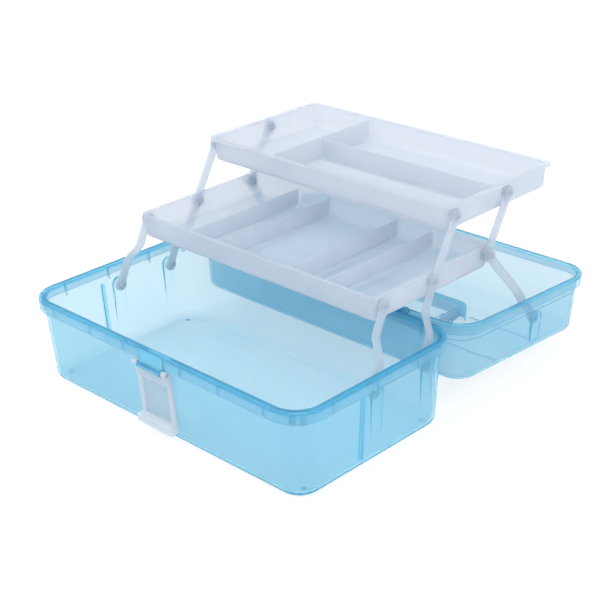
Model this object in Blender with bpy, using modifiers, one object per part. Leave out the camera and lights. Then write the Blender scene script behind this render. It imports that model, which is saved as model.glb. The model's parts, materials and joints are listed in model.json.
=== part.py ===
"""Fold-out art supply box: a tub, a lid and two trays on a linkage.

Metres, +Z up. X runs along the box, -Y is the front with the latch, +Y the
rear with the hinge. The origin is at the middle of the tub's underside.
The model stands open: the lid is turned right over behind the tub, and the
two trays stand out in steps above it.
"""
import math

import bmesh
import bpy
from mathutils import Matrix, Vector

MM = 0.001
RIGHT, LEFT = 1, -1

# Body shell
BOX_LENGTH = 320 * MM
BOX_WIDTH = 180 * MM
TUB_HEIGHT = 76.4 * MM
LID_HEIGHT = 52.5 * MM
SHELL_CORNER = 27 * MM          # plan radius of the rim's outer edge
SHELL_CORNER_LEAST = 6 * MM
RIM_OVERHANG = 3.4 * MM         # rim's outer face to the wall's outer face
RIM_THICKNESS = 2.2 * MM
RIM_ROUND = 0.9 * MM
SKIRT_THICKNESS = 1.7 * MM
TUB_SKIRT = 10 * MM
LID_SKIRT = 9 * MM
WALL_SLOPE = 0.07               # inset of a wall for each metre away from its rim
TUB_WALL = 2.8 * MM
TUB_FLOOR = 4.2 * MM
LID_WALL = 1.3 * MM
LID_TOP = 1.4 * MM
OUTER_FILLET = 6 * MM
INNER_FILLET = 4.5 * MM
RIM_GAP = 0.5 * MM              # between the two rims when the box is shut

# Lid hinge
HINGE_BEHIND_RIM = 2.3 * MM
HINGE_PIN_RADIUS = 1.5 * MM
KNUCKLE_RADIUS = 3.2 * MM
KNUCKLE_LENGTH = 12 * MM
HINGE_SPACING = 170 * MM        # between the middles of the two hinges
LID_OPEN_ANGLE = math.radians(182.94)

# Trays
TRAY_SIDE_GAP = 17.34 * MM      # tray's lip to the tub's end wall at the pivots
LOWER_TRAY_SIDE = 19 * MM       # the tub's width less the lower tray's, at each side
UPPER_TRAY_NARROWER = 8.4 * MM  # than the lower tray
TRAY_DEPTH = 21.5 * MM
TRAY_CORNER = 7 * MM
TRAY_LIP = 1.2 * MM
TRAY_LIP_HEIGHT = 1.8 * MM
TRAY_WALL = 1.1 * MM
TRAY_FLOOR = 1.1 * MM
TRAY_SLOPE = 0.05
TRAY_FILLET = 4 * MM
POCKET_FILLET = 4.5 * MM
POCKET_CORNER = 1.8 * MM
DIVIDER = 1.2 * MM
LOWER_DIVIDER_DROP = 3.8 * MM   # below the rim
UPPER_DIVIDER_DROP = 1.5 * MM
LOWER_MIDDLE_POCKET = 79 * MM
LOWER_SIDE_POCKET = 38.5 * MM
UPPER_CROSS_DIVIDER_X = -61 * MM
UPPER_FRONT_POCKET = 60 * MM

# Linkage, seen from the side: Y to the rear, Z up
TUB_PIVOT_FROM_REAR = 32.3 * MM         # rear tub pivot to the rim's rear edge
TUB_PIVOT_BELOW_RIM = 18 * MM
TRAY_PIVOT_SPACING = 66.4 * MM          # lower tray's middle to rear, and on the upper tray
LOWER_ARM_LENGTH = 63.2 * MM
UPPER_ARM_LENGTH = 53 * MM
LOWER_ARM_ANGLE = math.radians(64.6)    # from level, box open
UPPER_ARM_ANGLE = math.radians(60.1)
ARM_SWING = math.radians(95.95)         # from open to shut
LID_PIVOT_DEPTH = 24.25 * MM    # below the lid's rim
LOWER_PIVOT_BELOW_RIM = 8 * MM
UPPER_PIVOT_BELOW_RIM = 8.4 * MM
LOWER_PIVOT_FROM_FRONT = 9.8 * MM
LOWER_PIVOT_FROM_REAR = 8.4 * MM

# Links and pins
EYE_WALL = 3.2 * MM             # of an eye, outside its pin
EYE_THICKNESS = 3 * MM
BAR_WIDTH = 7.6 * MM
BAR_THICKNESS = 2.6 * MM
JOG_START = 23 * MM             # along an arm from its tub pivot
JOG_END = 38 * MM
LINK_JOG_START = 12 * MM        # along a lid link from its tray pivot
LINK_JOG_END = 42 * MM
PIN_RADIUS = 2.2 * MM
PIN_CLEARANCE = 0.3 * MM
PIN_HEAD_STEP = 0.9 * MM        # a head's radius less its pin's
PIN_HEAD_TO_FRONT = 1.3 * MM    # upper tray's front pins to its front wall
PIN_HEAD = 1.2 * MM
LID_PIN_ENTERS = 1.9 * MM       # how far a lid link's pin goes into the lid's boss
FACE_GAP = 0.3 * MM             # between faces that slide on each other
ARM_PLANE_TO_WALL = 4.9 * MM    # outer arm eyes' middle to the tub's wall at the pivots
BOSS_WIDTH = 12 * MM
TRAY_BOSS_WALL = 2.8 * MM       # of a tray's boss, outside its pin
RIB_WIDTH = 3 * MM
RIB_Y = -16 * MM
RIB_PROUD = 1.4 * MM

# Latch
LATCH_WIDTH = 40 * MM
LATCH_PIVOT_BELOW_SKIRT = 4.4 * MM
LATCH_PIVOT_BEHIND_RIM = 0.5 * MM
LATCH_BARREL_RADIUS = 3.6 * MM
LATCH_PRONG = 5.5 * MM          # width of each of its two prongs
LATCH_PLATE = 2 * MM
LATCH_REACH = 53 * MM           # pivot to free end
LATCH_HOOK = 6.8 * MM           # length of the hook along the latch
LATCH_HOOK_BITE = 2.6 * MM      # how far it reaches behind the catch
LATCH_PANEL_SUNK = 0.9 * MM
LATCH_BAND = 5 * MM             # thick edge band beside the sunk panel
LATCH_BAR = 8 * MM              # thick bar below the prongs
LATCH_HANG_TILT = math.radians(4)
LATCH_PIN_RADIUS = 1.5 * MM
LATCH_STEP = 0.2 * MM           # small steps that keep joined faces from lying in one plane
LATCH_LUG_BACK = 3 * MM         # how far the lug's web reaches below the pivot
CATCH_HEIGHT = 3.6 * MM
CATCH_PROUD = 3.1 * MM
CATCH_WIDTH = 28 * MM
HOOK_GAP = 0.4 * MM

# Handle and its recess in the lid
RECESS_LENGTH = 152 * MM
RECESS_WIDTH = 54 * MM
RECESS_DEPTH = 14 * MM
RECESS_CORNER = 9 * MM
HANDLE_PIVOT_DEPTH = 6.2 * MM
HANDLE_REACH = 22 * MM          # pivot to the middle of the grip
HANDLE_BAR = 8 * MM
HANDLE_GAP = 2 * MM             # between its sides and the recess
HANDLE_STUB_RADIUS = 2.4 * MM
HANDLE_STUB = 1.1 * MM          # how far a stub enters the recess wall
HANDLE_BEND = 12 * MM           # radius of its two corners
HANDLE_HUB_EXTRA = 0.5 * MM     # its hubs are this much fatter than the bar

CORNER_STEPS = 6
ROUND_STEPS = 20
PIN_STEPS = 14

# Worked out from the sizes above
HALF_LENGTH = BOX_LENGTH / 2
HALF_WIDTH = BOX_WIDTH / 2
SHUT_LID_RIM_Z = TUB_HEIGHT + RIM_GAP
HINGE_Y = HALF_WIDTH + HINGE_BEHIND_RIM
HINGE_Z = TUB_HEIGHT + RIM_GAP / 2
TUB_PIVOT_Z = TUB_HEIGHT - TUB_PIVOT_BELOW_RIM
INNER_WALL_AT_PIVOT = (HALF_LENGTH - RIM_OVERHANG - TUB_WALL
                       - WALL_SLOPE * TUB_PIVOT_BELOW_RIM)
TRAY_LENGTH = 2 * (INNER_WALL_AT_PIVOT - TRAY_SIDE_GAP)
LOWER_TRAY_WIDTH = BOX_WIDTH - 2 * LOWER_TRAY_SIDE
UPPER_TRAY_WIDTH = LOWER_TRAY_WIDTH - UPPER_TRAY_NARROWER
TUB_PIVOT_SPACING = (LOWER_TRAY_WIDTH - LOWER_PIVOT_FROM_FRONT - TRAY_PIVOT_SPACING
                     - LOWER_PIVOT_FROM_REAR)
TUB_PIVOT_Y = HALF_WIDTH - TUB_PIVOT_FROM_REAR - TUB_PIVOT_SPACING     # front one
EYE_RADIUS = PIN_RADIUS + EYE_WALL
PIN_HEAD_RADIUS = PIN_RADIUS + PIN_HEAD_STEP
TRAY_BOSS_RADIUS = PIN_RADIUS + TRAY_BOSS_WALL
OUTER_ARM_X = INNER_WALL_AT_PIVOT - ARM_PLANE_TO_WALL
INNER_ARM_X = TRAY_LENGTH / 2 + FACE_GAP + EYE_THICKNESS / 2
LINK_EYE_X = INNER_ARM_X + EYE_THICKNESS + FACE_GAP
BOSS_FACE_X = OUTER_ARM_X + EYE_THICKNESS / 2 + FACE_GAP
TRAY_INSET = TRAY_LIP + TRAY_WALL + TRAY_SLOPE * TRAY_DEPTH     # lip's edge to the pockets
UPPER_PIVOT_FROM_FRONT = TRAY_INSET + PIN_HEAD_RADIUS + PIN_HEAD_TO_FRONT
HINGE = Vector((0, HINGE_Y, HINGE_Z))
LATCH_AXIS = Vector((0, -HALF_WIDTH + LATCH_PIVOT_BEHIND_RIM,
                     TUB_HEIGHT - TUB_SKIRT - LATCH_PIVOT_BELOW_SKIRT))
CATCH_TOP_Z = LATCH_AXIS.z + LATCH_REACH - LATCH_HOOK - HOOK_GAP


def along(angle, length):
    """Offset in the side view: Y and Z of a link at this angle from level."""
    return Vector((0, length * math.cos(angle), length * math.sin(angle)))


def arm_points(turn):
    """Every pivot of the linkage with the arms turned this far from open."""
    rear = Vector((0, 1, 0))
    tub_front = Vector((0, TUB_PIVOT_Y, TUB_PIVOT_Z))
    lower_front = tub_front + along(LOWER_ARM_ANGLE + turn, LOWER_ARM_LENGTH)
    lower_middle = lower_front + rear * TUB_PIVOT_SPACING
    upper_front = lower_middle + along(UPPER_ARM_ANGLE + turn, UPPER_ARM_LENGTH)
    return {
        "tub_front": tub_front,
        "tub_rear": tub_front + rear * TUB_PIVOT_SPACING,
        "lower_front": lower_front,
        "lower_middle": lower_middle,
        "lower_rear": lower_middle + rear * TRAY_PIVOT_SPACING,
        "upper_front": upper_front,
        "upper_rear": upper_front + rear * TRAY_PIVOT_SPACING,
    }


def lid_pivot_shut():
    """Where the lid link joins the shut lid, so one link length fits both ends.

    The link must be as long with the box open as with it shut. Turning the
    lid keeps the pivot's distance to the hinge, so the squared lengths differ
    only in terms that are linear in the pivot's Y.
    """
    tray_open = arm_points(0)["lower_rear"] - HINGE
    tray_shut = arm_points(ARM_SWING)["lower_rear"] - HINGE
    opened = Matrix.Rotation(-LID_OPEN_ANGLE, 3, "X")
    height = SHUT_LID_RIM_Z + LID_PIVOT_DEPTH - HINGE.z
    along_y = opened @ Vector((0, 1, 0))
    along_z = opened @ Vector((0, 0, 1))
    difference = (tray_open.length_squared - tray_shut.length_squared) / 2
    rise = height * (tray_open.dot(along_z) - tray_shut.z)
    offset = (difference - rise) / (tray_open.dot(along_y) - tray_shut.y)
    return HINGE + Vector((0, offset, height))


PIVOTS = arm_points(0)
LID_PIVOT = lid_pivot_shut()


# ---------------------------------------------------------------- scene tools
for old in list(bpy.data.objects):
    bpy.data.objects.remove(old, do_unlink=True)

box_parts = bpy.data.collections.new("art_supply_box")
cutters = bpy.data.collections.new("cutters")
bpy.context.scene.collection.children.link(box_parts)
bpy.context.scene.collection.children.link(cutters)


def plastic(name, color, roughness):
    material = bpy.data.materials.new(name)
    material.use_nodes = True
    shader = material.node_tree.nodes["Principled BSDF"]
    shader.inputs["Base Color"].default_value = (*color, 1)
    shader.inputs["Roughness"].default_value = roughness
    shader.inputs["Metallic"].default_value = 0
    material.diffuse_color = (*color, 1)
    return material


BLUE = plastic("clear_blue_plastic", (0.30, 0.66, 0.84), 0.18)
FROSTED = plastic("frosted_white_plastic", (0.80, 0.82, 0.90), 0.42)
MILKY = plastic("milky_white_plastic", (0.86, 0.88, 0.92), 0.38)


def new_object(name, mesh, material=None):
    """A part goes in the part collection; a piece without material is a tool."""
    piece = bpy.data.objects.new(name, mesh)
    if material is None:
        cutters.objects.link(piece)
        piece.hide_render = True
        piece.display_type = "WIRE"
    else:
        box_parts.objects.link(piece)
        mesh.materials.append(material)
    return piece


def axis_empty(name, location, turn=0.0):
    empty = bpy.data.objects.new(name, None)
    empty.location = location
    empty.rotation_euler = (turn, 0, 0)
    box_parts.objects.link(empty)
    return empty


def hang_on(piece, empty):
    """Parent a piece modelled in place, with its origin moved to the empty's."""
    piece.data.transform(Matrix.Translation(-empty.location))
    piece.parent = empty


def combine(piece, tool, operation):
    modifier = piece.modifiers.new(operation.lower(), "BOOLEAN")
    modifier.operation = operation
    modifier.object = tool


def settle(piece, sharp=30):
    """Make the piece's modifiers final and shade its round faces smooth."""
    bpy.context.view_layer.update()
    evaluated = piece.evaluated_get(bpy.context.evaluated_depsgraph_get())
    mesh = bpy.data.meshes.new_from_object(evaluated)
    piece.modifiers.clear()
    piece.data = mesh
    mesh.name = piece.name
    mesh.shade_smooth()
    mesh.set_sharp_from_angle(angle=math.radians(sharp))
    return piece


def rounded_outline(half_x, half_y, radius, middle=(0, 0), steps=CORNER_STEPS):
    """Points of a rectangle with round corners, anticlockwise in plan."""
    points = []
    for corner, (sign_x, sign_y) in enumerate(((1, 1), (-1, 1), (-1, -1), (1, -1))):
        for step in range(steps + 1):
            angle = math.pi / 2 * (corner + step / steps)
            x = sign_x * (half_x - radius) + radius * math.cos(angle)
            y = sign_y * (half_y - radius) + radius * math.sin(angle)
            points.append((middle[0] + x, middle[1] + y))
    return points


def loft(name, rings, material=None):
    """A closed solid through rings of equal point count, capped at both ends."""
    mesh = bpy.data.meshes.new(name)
    shape = bmesh.new()
    loops = [[shape.verts.new(point) for point in ring] for ring in rings]
    for ring, following in zip(loops, loops[1:]):
        for index in range(len(ring)):
            nxt = (index + 1) % len(ring)
            shape.faces.new((ring[index], ring[nxt], following[nxt], following[index]))
    shape.faces.new(loops[0])
    shape.faces.new(loops[-1])
    bmesh.ops.recalc_face_normals(shape, faces=shape.faces)
    shape.to_mesh(mesh)
    shape.free()
    return new_object(name, mesh, material)


def block(name, low, high, material=None):
    low, high = Vector(low), Vector(high)
    mesh = bpy.data.meshes.new(name)
    shape = bmesh.new()
    bmesh.ops.create_cube(shape, size=1)
    bmesh.ops.scale(shape, vec=high - low, verts=shape.verts)
    bmesh.ops.translate(shape, vec=(low + high) / 2, verts=shape.verts)
    shape.to_mesh(mesh)
    shape.free()
    return new_object(name, mesh, material)


def rod(name, x_from, x_to, centre, radius, material=None, steps=ROUND_STEPS):
    """A cylinder along X between two X places."""
    mesh = bpy.data.meshes.new(name)
    shape = bmesh.new()
    bmesh.ops.create_cone(shape, cap_ends=True, segments=steps, radius1=radius,
                          radius2=radius, depth=abs(x_to - x_from))
    middle = Vector(((x_from + x_to) / 2, centre.y, centre.z))
    place = Matrix.Translation(middle) @ Matrix.Rotation(math.pi / 2, 4, "Y")
    bmesh.ops.transform(shape, matrix=place, verts=shape.verts)
    shape.to_mesh(mesh)
    shape.free()
    return new_object(name, mesh, material)


def headed_pin(name, side, x_head, x_tip, centre, cap, material):
    """A turned pin along X: a flat head at x_head, and a cap at its tip.

    The profile is turned about Z and then laid along X, tip outwards.
    """
    length = x_tip - x_head
    round_off = PIN_HEAD / 3
    profile = [(0, length)]
    if cap:
        profile += [(PIN_HEAD_RADIUS - round_off, length),
                    (PIN_HEAD_RADIUS, length - round_off),
                    (PIN_HEAD_RADIUS, length - PIN_HEAD),
                    (PIN_RADIUS, length - PIN_HEAD)]
    else:
        profile += [(PIN_RADIUS - round_off, length), (PIN_RADIUS, length - round_off)]
    profile += [(PIN_RADIUS, PIN_HEAD), (PIN_HEAD_RADIUS, PIN_HEAD),
                (PIN_HEAD_RADIUS, round_off), (PIN_HEAD_RADIUS - round_off, 0), (0, 0)]
    mesh = bpy.data.meshes.new(name)
    edges = [(index, index + 1) for index in range(len(profile) - 1)]
    mesh.from_pydata([(radius, 0, height) for radius, height in profile], edges, [])
    pin = new_object(name, mesh, material)
    turn = pin.modifiers.new("turn", "SCREW")
    turn.steps = turn.render_steps = PIN_STEPS
    turn.use_merge_vertices = True
    turn.merge_threshold = 0.00001
    settle(pin)
    place = (Matrix.Translation((side * x_head, centre.y, centre.z))
             @ Matrix.Rotation(side * math.pi / 2, 4, "Y"))
    pin.data.transform(place)
    return pin


# ------------------------------------------------------------------ the shell
def shell_profile(height, skirt, wall, floor):
    """Inset and distance from the closed end, from under the floor over the rim."""
    def outer(z):
        return RIM_OVERHANG + WALL_SLOPE * (height - z)

    def inner(z):
        return outer(z) + wall

    profile = []
    for step in range(4):
        angle = math.pi / 2 * step / 3
        z = OUTER_FILLET * (1 - math.cos(angle))
        profile.append((outer(z) + OUTER_FILLET * (1 - math.sin(angle)), z))
    under = height - RIM_THICKNESS
    profile += [(outer(under), under), (SKIRT_THICKNESS, under),
                (SKIRT_THICKNESS, height - skirt), (0, height - skirt),
                (0, height - RIM_ROUND), (RIM_ROUND, height),
                (inner(height) - RIM_ROUND, height), (inner(height), height - RIM_ROUND)]
    for step in range(4):
        angle = math.pi / 2 * step / 3
        z = floor + INNER_FILLET * (1 - math.sin(angle))
        profile.append((inner(z) + INNER_FILLET * (1 - math.cos(angle)), z))
    return profile


def shell(name, height, skirt, wall, floor, place):
    """A tub or lid: rounded rings lofted through the profile."""
    rings = []
    for inset, z in shell_profile(height, skirt, wall, floor):
        radius = max(SHELL_CORNER - inset, SHELL_CORNER_LEAST)
        outline = rounded_outline(HALF_LENGTH - inset, HALF_WIDTH - inset, radius)
        rings.append([(x, y, place(z)) for x, y in outline])
    return loft(name, rings, BLUE)


def wall_x(height, wall, z):
    """Inner X of an end wall, z measured from the shell's closed end."""
    return HALF_LENGTH - RIM_OVERHANG - wall - WALL_SLOPE * (height - z)


def upright(name, side, face_x, y, width, height, wall, z_low, z_high, place):
    """A rib up an end wall, rooted in the sloping wall; face_x gives its face's X at z."""
    rings = []
    for z in (z_low, z_high):
        root = wall_x(height, wall, z) + wall / 2
        ring = [(side * face_x(z), y - width / 2), (side * root, y - width / 2),
                (side * root, y + width / 2), (side * face_x(z), y + width / 2)]
        rings.append([(x, py, place(z)) for x, py in ring])
    return loft(name, rings)


def pivot_boss(piece, side, height, wall, floor, y, z, place):
    """A dome-ended rib that a link's eye lies against."""
    label = f"{piece.name}_boss_{side}_{round(y * 1000)}"
    dome_root = wall_x(height, wall, z + BOSS_WIDTH / 2) + wall / 2
    combine(piece, upright(f"{label}_rib", side, lambda _: BOSS_FACE_X, y, BOSS_WIDTH, height,
                           wall, floor / 2, z, place), "UNION")
    centre = Vector((0, y, place(z)))
    combine(piece, rod(f"{label}_dome", side * BOSS_FACE_X, side * dome_root, centre,
                       BOSS_WIDTH / 2), "UNION")


def tub_rib_x(z):
    return wall_x(TUB_HEIGHT, TUB_WALL, z) - RIB_PROUD


def shut_z(z):
    """Height in the shut box of a lid point z away from the lid's closed end."""
    return SHUT_LID_RIM_Z + LID_HEIGHT - z


def upward(z):
    return z


def knuckle_spans():
    """X spans of the hinge knuckles: tub, lid, tub at each of the two hinges."""
    for middle in (-HINGE_SPACING / 2, HINGE_SPACING / 2):
        for slot in (-1, 0, 1):
            x = middle + slot * (KNUCKLE_LENGTH + FACE_GAP)
            yield "lid" if slot == 0 else "tub", x - KNUCKLE_LENGTH / 2, x + KNUCKLE_LENGTH / 2


def add_knuckles(piece, owner):
    """Knuckles for this shell, room for the other's, and the pin's bore."""
    for index, (belongs, x_from, x_to) in enumerate(knuckle_spans()):
        label = f"{piece.name}_knuckle_{index}"
        if belongs == owner:
            combine(piece, rod(label, x_from, x_to, HINGE, KNUCKLE_RADIUS), "UNION")
        else:
            combine(piece, rod(f"{label}_room", x_from - FACE_GAP, x_to + FACE_GAP, HINGE,
                               KNUCKLE_RADIUS + 2 * FACE_GAP), "DIFFERENCE")
    reach = 1.5 * (KNUCKLE_LENGTH + FACE_GAP) + FACE_GAP
    for middle in (-HINGE_SPACING / 2, HINGE_SPACING / 2):
        combine(piece, rod(f"{piece.name}_bore_{round(middle * 1000)}", middle - reach,
                           middle + reach, HINGE, HINGE_PIN_RADIUS + PIN_CLEARANCE,
                           steps=PIN_STEPS), "DIFFERENCE")


def make_tub():
    tub = shell("base_tub", TUB_HEIGHT, TUB_SKIRT, TUB_WALL, TUB_FLOOR, upward)
    for side in (LEFT, RIGHT):
        for pivot in ("tub_front", "tub_rear"):
            point = PIVOTS[pivot]
            pivot_boss(tub, side, TUB_HEIGHT, TUB_WALL, TUB_FLOOR, point.y, point.z, upward)
        combine(tub, upright(f"tub_rib_{side}", side, tub_rib_x, RIB_Y, RIB_WIDTH, TUB_HEIGHT,
                             TUB_WALL, TUB_FLOOR / 3, TUB_PIVOT_Z + BOSS_WIDTH / 3, upward),
                "UNION")
    lug_half = LATCH_WIDTH / 2 - LATCH_PRONG - 2 * FACE_GAP
    combine(tub, rod("latch_lug_nose", -lug_half, lug_half, LATCH_AXIS,
                     LATCH_BARREL_RADIUS - FACE_GAP), "UNION")
    wall_y = HALF_WIDTH - RIM_OVERHANG - WALL_SLOPE * (TUB_HEIGHT - LATCH_AXIS.z)
    web = block("latch_lug_web", (-lug_half, LATCH_AXIS.y, LATCH_AXIS.z - LATCH_LUG_BACK),
                (lug_half, -wall_y + TUB_WALL / 2, TUB_HEIGHT - RIM_THICKNESS / 2))
    combine(tub, web, "UNION")
    combine(tub, rod("latch_lug_bore", -lug_half - MM, lug_half + MM, LATCH_AXIS,
                     LATCH_PIN_RADIUS + PIN_CLEARANCE, steps=PIN_STEPS), "DIFFERENCE")
    add_knuckles(tub, "tub")
    return settle(tub)


def recess_block(name, grow, depth, top):
    """The handle recess's room, grown sideways by a wall and down to a depth."""
    half_x = RECESS_LENGTH / 2 + grow
    half_y = RECESS_WIDTH / 2 + grow
    outline = rounded_outline(half_x, half_y, RECESS_CORNER + grow, steps=4)
    return loft(name, [[(x, y, z) for x, y in outline] for z in (depth, top)])


def make_lid(lid_axis):
    lid = shell("lid", LID_HEIGHT, LID_SKIRT, LID_WALL, LID_TOP, shut_z)
    top = shut_z(0)
    combine(lid, recess_block("recess_wall", LID_WALL, top - RECESS_DEPTH - LID_TOP,
                              top - LID_TOP / 2), "UNION")
    combine(lid, recess_block("recess_room", 0, top - RECESS_DEPTH, top + MM), "DIFFERENCE")
    stub_reach = RECESS_LENGTH / 2 + LID_WALL + MM
    handle_axis = Vector((0, 0, top - HANDLE_PIVOT_DEPTH))
    combine(lid, rod("handle_bore", -stub_reach, stub_reach, handle_axis,
                     HANDLE_STUB_RADIUS + PIN_CLEARANCE, steps=PIN_STEPS), "DIFFERENCE")
    pivot_from_top = LID_HEIGHT - LID_PIVOT_DEPTH
    for side in (LEFT, RIGHT):
        pivot_boss(lid, side, LID_HEIGHT, LID_WALL, LID_TOP, LID_PIVOT.y, pivot_from_top, shut_z)
        combine(lid, rod(f"lid_pin_socket_{side}", side * (BOSS_FACE_X - MM),
                         side * (BOSS_FACE_X + LID_PIN_ENTERS + FACE_GAP), LID_PIVOT,
                         PIN_RADIUS + PIN_CLEARANCE, steps=PIN_STEPS), "DIFFERENCE")
    catch_low = CATCH_TOP_Z - CATCH_HEIGHT
    wall_y = HALF_WIDTH - RIM_OVERHANG - WALL_SLOPE * (catch_low - SHUT_LID_RIM_Z)
    combine(lid, block("latch_catch", (-CATCH_WIDTH / 2, -wall_y - CATCH_PROUD, catch_low),
                       (CATCH_WIDTH / 2, -wall_y + LID_WALL / 2, CATCH_TOP_Z)), "UNION")
    add_knuckles(lid, "lid")
    settle(lid)
    hang_on(lid, lid_axis)
    return lid


# ---------------------------------------------------------------------- trays
def pocket(name, x_low, x_high, y_low, y_high, z_floor, z_top, fillet):
    """Cutter for one compartment, with a rounded floor edge."""
    middle = ((x_low + x_high) / 2, (y_low + y_high) / 2)
    rings = []
    for step in range(4):
        angle = math.pi / 2 * step / 3
        inset = fillet * (1 - math.sin(angle))
        radius = max(POCKET_CORNER - inset, 1 * MM)
        outline = rounded_outline((x_high - x_low) / 2 - inset, (y_high - y_low) / 2 - inset,
                                  radius, middle, steps=4)
        z = z_floor + fillet * (1 - math.cos(angle))
        rings.append([(x, y, z) for x, y in outline])
    rings.append([(x, y, z_top) for x, y, _ in rings[-1]])
    return loft(name, rings)


def make_tray(name, width, front_y, rim_z, divider_drop, spans, pivots):
    """A lipped tray with pockets cut into it and a boss at every pivot.

    spans is a function that divides the inside, given by its left, right,
    front and rear, into pockets of (x_low, x_high, y_low, y_high).
    """
    half_x, half_y = TRAY_LENGTH / 2, width / 2
    middle_y = front_y + half_y
    bottom = rim_z - TRAY_DEPTH
    rings = []
    for step in range(4):
        angle = math.pi / 2 * step / 3
        height = TRAY_FILLET * (1 - math.cos(angle))
        slope = TRAY_LIP + TRAY_SLOPE * (TRAY_DEPTH - height)
        rings.append((slope + TRAY_FILLET * (1 - math.sin(angle)), bottom + height))
    lip_z = rim_z - TRAY_LIP_HEIGHT
    rings += [(TRAY_LIP + TRAY_SLOPE * TRAY_LIP_HEIGHT, lip_z), (0, lip_z), (0, rim_z)]
    tray = loft(name, [[(x, y, z) for x, y in
                        rounded_outline(half_x - inset, half_y - inset,
                                        max(TRAY_CORNER - inset, 2 * MM), (0, middle_y), 5)]
                       for inset, z in rings], FROSTED)
    for side in (LEFT, RIGHT):
        for pivot in pivots:
            wall_outer = half_x - TRAY_LIP - TRAY_SLOPE * (rim_z - PIVOTS[pivot].z)
            combine(tray, rod(f"{name}_boss_{pivot}_{side}", side * (wall_outer - TRAY_WALL / 2),
                              side * half_x, PIVOTS[pivot], TRAY_BOSS_RADIUS), "UNION")
    left, front = -half_x + TRAY_INSET, front_y + TRAY_INSET
    right, rear = half_x - TRAY_INSET, front_y + width - TRAY_INSET
    combine(tray, pocket(f"{name}_top_room", left, right, front, rear, rim_z - divider_drop,
                         rim_z + 2 * MM, MM / 2), "DIFFERENCE")
    for index, (x_low, x_high, y_low, y_high) in enumerate(spans(left, right, front, rear)):
        combine(tray, pocket(f"{name}_pocket_{index}", x_low, x_high, y_low, y_high,
                             bottom + TRAY_FLOOR, rim_z + MM, POCKET_FILLET), "DIFFERENCE")
    for side in (LEFT, RIGHT):
        for pivot in pivots:
            combine(tray, rod(f"{name}_bore_{pivot}_{side}", side * (half_x - TRAY_INSET - MM),
                              side * (half_x + MM), PIVOTS[pivot],
                              PIN_RADIUS + PIN_CLEARANCE, steps=PIN_STEPS), "DIFFERENCE")
    return settle(tray)


def lower_pockets(left, right, front, rear):
    """Five pockets side by side: a wide one between two narrow, and one at each end."""
    inner = LOWER_MIDDLE_POCKET / 2
    outer = inner + LOWER_SIDE_POCKET
    edges = [left, -outer, -inner, inner, outer, right]
    for index, (low, high) in enumerate(zip(edges, edges[1:])):
        start = low if index == 0 else low + DIVIDER / 2
        end = high if index == len(edges) - 2 else high - DIVIDER / 2
        yield start, end, front, rear


def upper_pockets(left, right, front, rear):
    """One pocket across the left end, and two long ones beside it."""
    cross = UPPER_CROSS_DIVIDER_X
    split = front + UPPER_FRONT_POCKET
    yield left, cross - DIVIDER / 2, front, rear
    yield cross + DIVIDER / 2, right, front, split - DIVIDER / 2
    yield cross + DIVIDER / 2, right, split + DIVIDER / 2, rear


# ------------------------------------------------------------ links and pins
def link(name, side, points, eyes, x_places):
    """A flat link: a bar through points with a round, bored eye at some of them.

    x_places gives the bar's middle X at each point, so the bar can step
    sideways. eyes lists the indices of the points that get an eye.
    """
    rings = []
    for index, point in enumerate(points):
        before = points[max(index - 1, 0)]
        after = points[min(index + 1, len(points) - 1)]
        run = (after - before).normalized()
        across = Vector((0, -run.z, run.y)) * (BAR_WIDTH / 2)
        x = side * x_places[index]
        half = BAR_THICKNESS / 2
        ring = [(x - half, *(point + across).yz), (x + half, *(point + across).yz),
                (x + half, *(point - across).yz), (x - half, *(point - across).yz)]
        rings.append(ring)
    bar = loft(name, rings, MILKY)
    for index in eyes:
        x = side * x_places[index]
        combine(bar, rod(f"{name}_eye_{index}", x - EYE_THICKNESS / 2, x + EYE_THICKNESS / 2,
                         points[index], EYE_RADIUS), "UNION")
    for index in eyes:
        x = side * x_places[index]
        combine(bar, rod(f"{name}_bore_{index}", x - EYE_THICKNESS, x + EYE_THICKNESS,
                         points[index], PIN_RADIUS + PIN_CLEARANCE, steps=PIN_STEPS),
                "DIFFERENCE")
    return settle(bar)


def stepped_arm(name, side, start, end, beyond=None):
    """An arm from a tub pivot that steps inwards and goes on to one or two pivots."""
    run = (end - start).normalized()
    points = [start, start + run * JOG_START, start + run * JOG_END, end]
    places = [OUTER_ARM_X, OUTER_ARM_X, INNER_ARM_X, INNER_ARM_X]
    eyes = [0, 3]
    if beyond is not None:
        points.append(beyond)
        places.append(INNER_ARM_X)
        eyes.append(4)
    return link(name, side, points, eyes, places)


def lid_link(name, side):
    """The link from the lower tray's rear pivot out to the lid's end wall."""
    opened = Matrix.Rotation(-LID_OPEN_ANGLE, 3, "X")
    far = HINGE + opened @ (LID_PIVOT - HINGE)
    near = PIVOTS["lower_rear"]
    run = (far - near).normalized()
    points = [near, near + run * LINK_JOG_START, near + run * LINK_JOG_END, far]
    places = [LINK_EYE_X, LINK_EYE_X, OUTER_ARM_X, OUTER_ARM_X]
    piece = link(name, side, points, [0, 3], places)
    axis = axis_empty(f"{name}_axis", far)
    hang_on(piece, axis)
    return piece


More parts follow.
